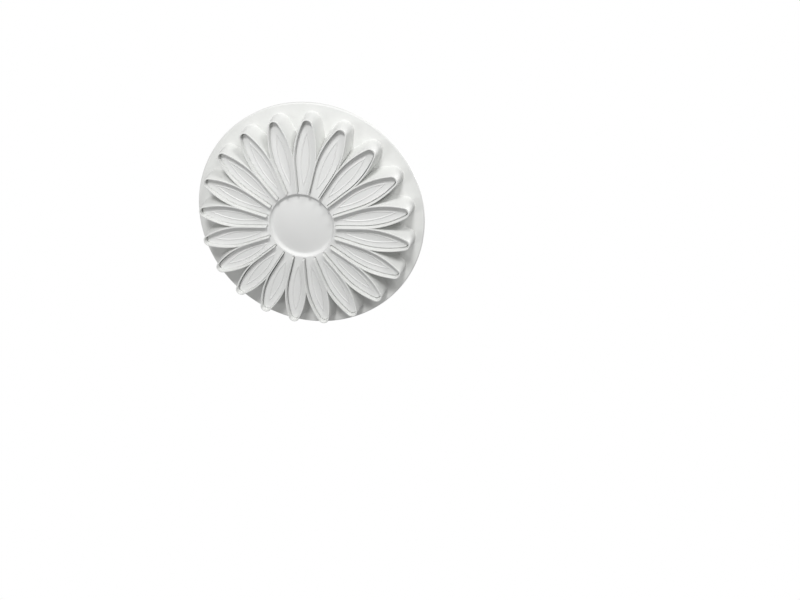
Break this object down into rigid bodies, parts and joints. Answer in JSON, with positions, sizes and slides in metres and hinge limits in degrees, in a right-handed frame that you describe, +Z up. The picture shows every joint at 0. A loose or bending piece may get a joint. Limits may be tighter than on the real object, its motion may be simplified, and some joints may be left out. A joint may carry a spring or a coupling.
{
  "type": "plunger cutter",
  "caption": "Daisy-shaped plunger cutter for sugar paste: petal-shaped cutting walls on a round flange, with a sprung veining plate pushed down by a round knob.",
  "frame": {"origin": "middle of the flower in the plane of the cutting edges, which the cutter stands on", "axes": "+Z up the plunger, from the cutting edges to the knob; +X along the middle of one petal"},
  "size_m": [0.116, 0.116, 0.0435],
  "materials": {
    "white_body_plastic": "moulded white plastic, soft gloss",
    "white_plate_plastic": "moulded white plastic, soft gloss",
    "white_knob_plastic": "moulded white plastic, soft gloss",
    "spring_wire": "bright drawn spring wire",
    "screw_steel": "zinc-plated steel"
  },
  "bodies": {
    "cutter": {"cutter_body": "white_body_plastic", "return_spring": "spring_wire"},
    "plunger": {"veining_plate": "white_plate_plastic", "plunger_stem": "white_plate_plastic", "push_knob": "white_knob_plastic", "knob_screw": "screw_steel", "knob_cap": "white_knob_plastic"}
  },
  "joints": [
    {"name": "plunger_press", "type": "slide", "parent": "cutter", "child": "plunger", "axis": [0, 0, -1], "range_m": [0, 0.0046], "stiffness_N_per_m": 600, "springref_m": -0.006, "deforming": ["return_spring"]}
  ]
}
